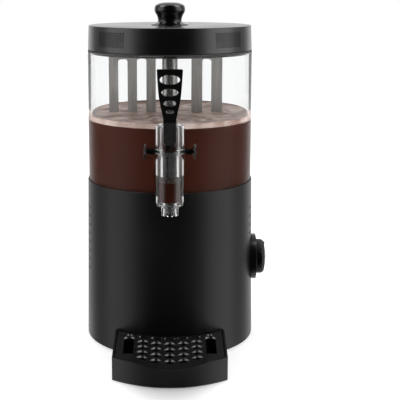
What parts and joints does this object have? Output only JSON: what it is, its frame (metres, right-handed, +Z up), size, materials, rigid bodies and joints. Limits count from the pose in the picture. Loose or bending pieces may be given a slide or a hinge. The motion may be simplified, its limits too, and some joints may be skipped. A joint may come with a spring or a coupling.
{
  "type": "hot drink dispenser",
  "caption": "Countertop hot drink dispenser: round heated base, clear bowl with turning stirrer, lid with knob, clear pull-lever tap and drip tray with pierced grille.",
  "frame": {"origin": "middle of the base plate's underside, on the upright axis of base, bowl and lid; the feet reach 4 mm below it", "axes": "+Z up, -Y to the front where the tap and the drip tray are, +X to the side with the thermostat dial"},
  "size_m": [0.2359, 0.3019, 0.4331],
  "materials": {
    "casing_black": "satin",
    "matte_black": "matte",
    "gloss_black": "gloss",
    "dark_grey": "satin",
    "clear": "clear",
    "steel": "brushed",
    "spring_steel": "dark",
    "aluminium": "cast",
    "brass": "plain",
    "rubber_black": "matte",
    "seal_grey": "matte"
  },
  "bodies": {
    "base": {"base_casing": "casing_black", "base_plate": "steel", "foot_1": "rubber_black", "foot_2": "rubber_black", "foot_3": "rubber_black", "foot_4": "rubber_black", "foot_screw_1": "steel", "foot_screw_2": "steel", "foot_screw_3": "steel", "foot_screw_4": "steel", "bowl_gasket": "seal_grey", "heating_plate": "aluminium", "heating_element": "steel", "motor_bracket": "steel", "gearbox": "aluminium", "motor": "steel", "motor_screw_1": "steel", "motor_screw_2": "steel", "thermostat": "matte_black", "dial_bezel": "matte_black", "mains_inlet": "matte_black", "switch_frame": "matte_black"},
    "dial": {"thermostat_dial": "matte_black", "thermostat_spindle": "brass"},
    "rocker": {"switch_rocker": "gloss_black"},
    "drive": {"drive_shaft": "steel", "shaft_coupling": "aluminium"},
    "bowl": {"bowl": "clear", "column": "steel", "column_gasket": "seal_grey", "column_nut": "steel", "column_bush_lower": "seal_grey", "column_bush_upper": "seal_grey", "tap_body": "clear", "tap_gasket": "seal_grey", "tap_nut": "matte_black", "tap_nozzle": "clear", "lever_spring_left": "spring_steel", "lever_spring_right": "spring_steel"},
    "stirrer": {"stirrer": "steel", "stirrer_nut": "steel"},
    "lid": {"lid": "gloss_black", "lid_knob": "gloss_black", "knob_screw": "steel", "lid_seal": "seal_grey"},
    "lever": {"tap_lever": "gloss_black", "pivot_pin": "steel", "pin_cap_left": "clear", "pin_cap_right": "clear"},
    "piston": {"piston": "dark_grey", "piston_ring": "rubber_black", "outlet_plug": "rubber_black"},
    "tray": {"drip_tray": "matte_black"},
    "grille": {"tray_grille": "matte_black"}
  },
  "joints": [
    {"name": "dial_turn", "type": "hinge", "parent": "base", "child": "dial", "pos_m": [0.11, 0, 0.099], "axis": [1, 0, 0], "range_deg": [0, 270]},
    {"name": "rocker_tip", "type": "hinge", "parent": "base", "child": "rocker", "pos_m": [0.028, 0.11096, 0.032], "axis": [-1, 0, 0], "range_deg": [0, 18]},
    {"name": "shaft_spin", "type": "hinge", "parent": "base", "child": "drive", "pos_m": [0, 0, 0.15], "axis": [0, 0, 1], "continuous": true},
    {"name": "bowl_lift", "type": "slide", "parent": "base", "child": "bowl", "axis": [0, 0, 1], "range_m": [0, 0.2]},
    {"name": "stirrer_spin", "type": "hinge", "parent": "bowl", "child": "stirrer", "pos_m": [0, 0, 0.38], "axis": [0, 0, 1], "continuous": true},
    {"name": "lid_lift", "type": "slide", "parent": "bowl", "child": "lid", "axis": [0, 0, 1], "range_m": [0, 0.06]},
    {"name": "lever_pull", "type": "hinge", "parent": "bowl", "child": "lever", "pos_m": [0, -0.146, 0.264], "axis": [1, 0, 0], "range_deg": [0, 45], "stiffness_Nm_per_rad": 0.12, "springref_deg": -28.65},
    {"name": "piston_rise", "type": "slide", "parent": "bowl", "child": "piston", "axis": [0, 0, 1], "range_m": [0, 0.0036]},
    {"name": "tray_pull", "type": "slide", "parent": "base", "child": "tray", "axis": [0, -1, 0], "range_m": [0, 0.12]},
    {"name": "grille_lift", "type": "slide", "parent": "tray", "child": "grille", "axis": [0, 0, 1], "range_m": [0, 0.04]}
  ],
  "couplings": [
    {"joint": "piston_rise", "follows": "lever_pull", "m_per_rad": 0.0045},
    {"joint": "shaft_spin", "follows": "stirrer_spin", "ratio": 1}
  ]
}
